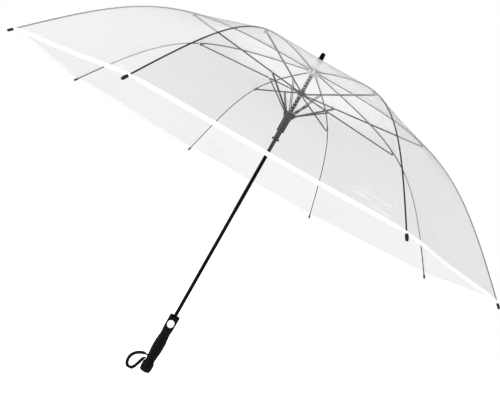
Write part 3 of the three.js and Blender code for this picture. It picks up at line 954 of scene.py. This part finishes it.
# ---------------------------------------------------------------- canopy
# Clear PVC film, 0.2 mm thick: eight gores heat-sealed along the ribs. Each is modelled as an
# inner and an outer sheet that meet where the rib flexes, and is bound at the hem in white vinyl.
FILM_LIFT = 1.65 * MM
CROWN_LIFT = 6.1 * MM
HALF_STEP = np.pi / RIB_COUNT
HEM_ARC = 766 * MM
HEM_EDGE = 767.8 * MM
GORE_MIDDLES = np.array([math.atan2(pivots[f"film_root_{i + 1}"][1], pivots[f"film_root_{i + 1}"][0])
                         for i in range(RIB_COUNT)])


def film_height(arc):
    """The film's height off a rib's middle line: 6.1 mm over the notch, easing to 1.65 mm."""
    return FILM_LIFT + (CROWN_LIFT - FILM_LIFT) * (1 - eased(arc, 8 * MM, 36 * MM))


def gore_point(arc, across, lift=0.0, wander=0.0):
    """A point of a gore in its own upright plane. The two ribs hold its edges, where across is
    -1 and 1, and between them it runs straight less a sag of 0.012 (1 - across^2) of its half
    width. Small puckers fade out from the seams, and slow waves cross the middle."""
    height = film_height(arc) + lift
    slope = rib_slope(arc)
    edge = rib_point(arc, height)
    half = edge[..., 0] * np.sin(HALF_STEP)
    free = 1 - across * across
    from_seam = half * (1 - np.abs(across))
    pucker = (0.35 * MM * np.sin(2 * np.pi * arc / (17 * MM) + 2 * wander) * np.exp(-from_seam / (9 * MM))
              * (1 - np.exp(-from_seam / (2 * MM))) * eased(arc, 60 * MM, 140 * MM))
    ripple = (1.1 * MM * np.sin(arc / (58 * MM) + 2.1 * across + wander)
              + 0.8 * MM * np.sin(arc / (31 * MM) - 3.4 * across + 2 * wander))
    wave = ripple * free * eased(arc, 60 * MM, 300 * MM)
    depth = 0.012 * half * free - pucker - wave * 0.8
    return np.stack([
        edge[..., 0] * np.cos(HALF_STEP) - depth * np.sin(slope),
        across * half,
        edge[..., 2] - depth * np.cos(slope),
    ], -1)


def clear_pvc(tree):
    """Clear PVC film. It takes a little light away where it is faced, and a painted sheen makes it
    whiter and hazier as the view grazes it; it is also whiter and hazier from 0.46 m in to 0.14 m from
    the shaft. Folding has left dents 30 by 110 mm, and painted glints lie as fine white streaks low
    down beside one seam of each gore."""
    place = node(tree, "ShaderNodeUVMap", {}, uv_map="metres")
    dent = node(tree, "ShaderNodeTexNoise", {
        "Vector": node(tree, "ShaderNodeMapping", {
            "Vector": place.outputs["UV"], "Scale": (1 / (30 * MM), 1 / (110 * MM), 1),
        }).outputs["Vector"], "Scale": 1.0, "Detail": 3.0, "Distortion": 0.4,
    })
    relief = node(tree, "ShaderNodeBump", {
        "Height": dent.outputs["Fac"], "Strength": 0.7, "Distance": 2.5 * MM,
    })
    spot = node(tree, "ShaderNodeTexCoord", {})
    flat = node(tree, "ShaderNodeVectorMath", {
        0: spot.outputs["Object"], 1: (1.0, 1.0, 0.0),
    }, operation="MULTIPLY")
    reach = node(tree, "ShaderNodeVectorMath", {0: flat.outputs["Vector"]}, operation="LENGTH")
    crown = node(tree, "ShaderNodeMapRange", {
        "Value": reach.outputs["Value"], "From Min": 0.46, "From Max": 0.14,
    }, interpolation_type="SMOOTHSTEP")
    # Painted sheen: the Layer Weight facing, squared, whitens the colour and raises the alpha where the view
    # grazes the film, standing in for its reflection.
    graze_for_painted_sheen = node(tree, "ShaderNodeLayerWeight", {"Blend": 0.5, "Normal": relief.outputs["Normal"]})
    skin = node(tree, "ShaderNodeMath", {0: graze_for_painted_sheen.outputs["Facing"], 1: 2.0}, operation="POWER")
    # Painted glints: a noise stretched 70 by 8 mm, kept to a band low on each gore beside one seam, whitens
    # the colour and raises the alpha in thin streaks, standing in for reflections off creases.
    streak = node(tree, "ShaderNodeTexNoise", {
        "Vector": node(tree, "ShaderNodeMapping", {
            "Vector": place.outputs["UV"], "Rotation": (0, 0, math.radians(8)),
            "Scale": (1 / (70 * MM), 1 / (8 * MM), 1),
        }).outputs["Vector"], "Scale": 1.0, "Detail": 1.0,
    })
    height = node(tree, "ShaderNodeSeparateXYZ", {"Vector": spot.outputs["Object"]})
    near_hem = node(tree, "ShaderNodeMapRange", {
        "Value": height.outputs["Z"], "From Min": 0.62, "From Max": 0.53,
    }, interpolation_type="SMOOTHSTEP")
    along_panel = node(tree, "ShaderNodeSeparateXYZ", {"Vector": place.outputs["UV"]})
    near_seam = node(tree, "ShaderNodeMapRange", {
        "Value": along_panel.outputs["X"], "From Min": 0.2, "From Max": 0.36,
    }, interpolation_type="SMOOTHSTEP")
    off_seam = node(tree, "ShaderNodeMapRange", {
        "Value": along_panel.outputs["X"], "From Min": 0.386, "From Max": 0.378,
    })
    beside_seam = product(tree, near_seam.outputs["Result"], off_seam.outputs["Result"])
    painted_glint_zone = product(tree, near_hem.outputs["Result"], beside_seam.outputs["Value"])
    lifted_glint_noise = node(tree, "ShaderNodeMath", {
        0: painted_glint_zone.outputs["Value"], 1: 0.2, 2: streak.outputs["Fac"],
    }, operation="MULTIPLY_ADD")
    painted_glint_streak = node(tree, "ShaderNodeMapRange", {
        "Value": lifted_glint_noise.outputs["Value"], "From Min": 0.66, "From Max": 0.78,
    })
    inside = product(tree, painted_glint_streak.outputs["Result"], painted_glint_zone.outputs["Value"])
    faint_painted_glint = product(tree, inside.outputs["Value"], 0.6)
    # The whiter, hazier crown and the painted sheen, then the painted glints, set the film's colour and its
    # haze.
    crown_and_painted_sheen = node(tree, "ShaderNodeMath", {
        0: crown.outputs["Result"], 1: skin.outputs["Value"],
    }, operation="MAXIMUM")
    white = node(tree, "ShaderNodeMath", {
        0: crown_and_painted_sheen.outputs["Value"], 1: faint_painted_glint.outputs["Value"],
    }, operation="MAXIMUM")
    # The haze is thinned to 0.3 within 3 mm of a rib, clear of the crown, so the rod reads dark.
    bearing = node(tree, "ShaderNodeMath", {
        0: height.outputs["Y"], 1: height.outputs["X"],
    }, operation="ARCTAN2")
    from_rib = node(tree, "ShaderNodeMath", {
        0: node(tree, "ShaderNodeMath", {
            0: bearing.outputs["Value"], 1: HALF_STEP,
        }, operation="ADD").outputs["Value"], 1: HALF_STEP,
    }, operation="PINGPONG")
    beside_rib = product(tree, from_rib.outputs["Value"], reach.outputs["Value"])
    off_rib = node(tree, "ShaderNodeMapRange", {
        "Value": beside_rib.outputs["Value"], "From Min": 3 * MM, "From Max": 6 * MM,
    }, interpolation_type="SMOOTHSTEP")
    open_film = node(tree, "ShaderNodeMath", {
        0: crown.outputs["Result"], 1: off_rib.outputs["Result"],
    }, operation="MAXIMUM")
    hazed = node(tree, "ShaderNodeMapRange", {
        "Value": white.outputs["Value"], "To Min": 0.09, "To Max": 0.7,
    })
    thinned = node(tree, "ShaderNodeMapRange", {
        "Value": open_film.outputs["Value"], "To Min": 0.3, "To Max": 1.0,
    })
    haze = product(tree, hazed.outputs["Result"], thinned.outputs["Result"])
    colour = node(tree, "ShaderNodeMixRGB", {
        "Fac": white.outputs["Value"], "Color1": tint("#505152"), "Color2": tint("#fdfdfd"),
    })
    return node(tree, "ShaderNodeBsdfPrincipled", {
        "Base Color": colour.outputs["Color"], "Roughness": 0.09, "Alpha": haze.outputs["Value"],
        "Normal": relief.outputs["Normal"],
    })


def white_vinyl(tree):
    """White vinyl binding: a soft sheen, and a stitched-looking weld pressed in every 2.5 mm."""
    place = node(tree, "ShaderNodeUVMap", {}, uv_map="metres")
    weld = node(tree, "ShaderNodeTexWave", {
        "Vector": place.outputs["UV"], "Scale": wave_scale(2.5 * MM),
    })
    relief = node(tree, "ShaderNodeBump", {
        "Height": weld.outputs["Fac"], "Strength": 0.3, "Distance": 0.15 * MM,
    })
    return node(tree, "ShaderNodeBsdfPrincipled", {
        "Base Color": tint("#e8e8e8"), "Roughness": 0.42, "Normal": relief.outputs["Normal"],
    })


film = material("clear_pvc_film", clear_pvc)
vinyl = material("white_vinyl_binding", white_vinyl)


hem_loop = np.array([
    [757, 0.28], [760, 0.42], [766, 0.42], [767.3, 0.3], [767.8, 0], [767.3, -0.3], [766, -0.42],
    [760, -0.42], [757, -0.28], [757, 0.28],
]) * MM
for i, middle in enumerate(GORE_MIDDLES):
    number = i + 1
    wander = 1.7 * number
    panels = []
    for part, start, end, rows, columns in (
        ("inner", -3 * MM, JOINT_ARC, 100, 32), ("outer", JOINT_ARC, HEM_ARC, 140, 48),
    ):
        arc, across = np.meshgrid(np.linspace(start, end, rows + 1), np.linspace(-1, 1, columns + 1),
                                  indexing="ij")
        gore = piece(f"film_{part}_{number}", [spun(gore_point(arc, across, 0.0, wander), middle)],
                     film, f"gore_{part}_{number}", [f"gore_{part}_{number}"], sharp=80)
        panels.append(gore)
    loop_arc, loop_across = np.meshgrid(hem_loop[:, 0], np.linspace(-1, 1, 49), indexing="ij")
    loop_arc = HEM_EDGE - (HEM_EDGE - loop_arc) * (1 - 0.45 * np.abs(loop_across) ** 10)
    loop_lift = np.broadcast_to(hem_loop[:, 1:], loop_arc.shape)
    hem = piece(f"hem_binding_{number}", [spun(gore_point(loop_arc, loop_across, loop_lift, wander), middle)],
                vinyl, f"gore_outer_{number}", sharp=60)
    for made in (*panels, hem):
        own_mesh(made)

# Heat-sealed overlaps: a raised weld line on either side of each rib.
seam_arcs = np.linspace(24 * MM, HEM_ARC - 14 * MM, 121)
for i, azimuth in enumerate(AZIMUTHS):
    number = i + 1
    welds = []
    for side in (-1, 1):
        line = rib_point(seam_arcs, film_height(seam_arcs) - 0.9 * MM) + side * 2.7 * MM * ACROSS
        welds.append(swept(line, circle(0.3 * MM, 6), ACROSS))
    weld = piece(f"seam_weld_{number}", [spun(grid, azimuth) for grid in welds], film, None)
    bend_with_rib(weld)
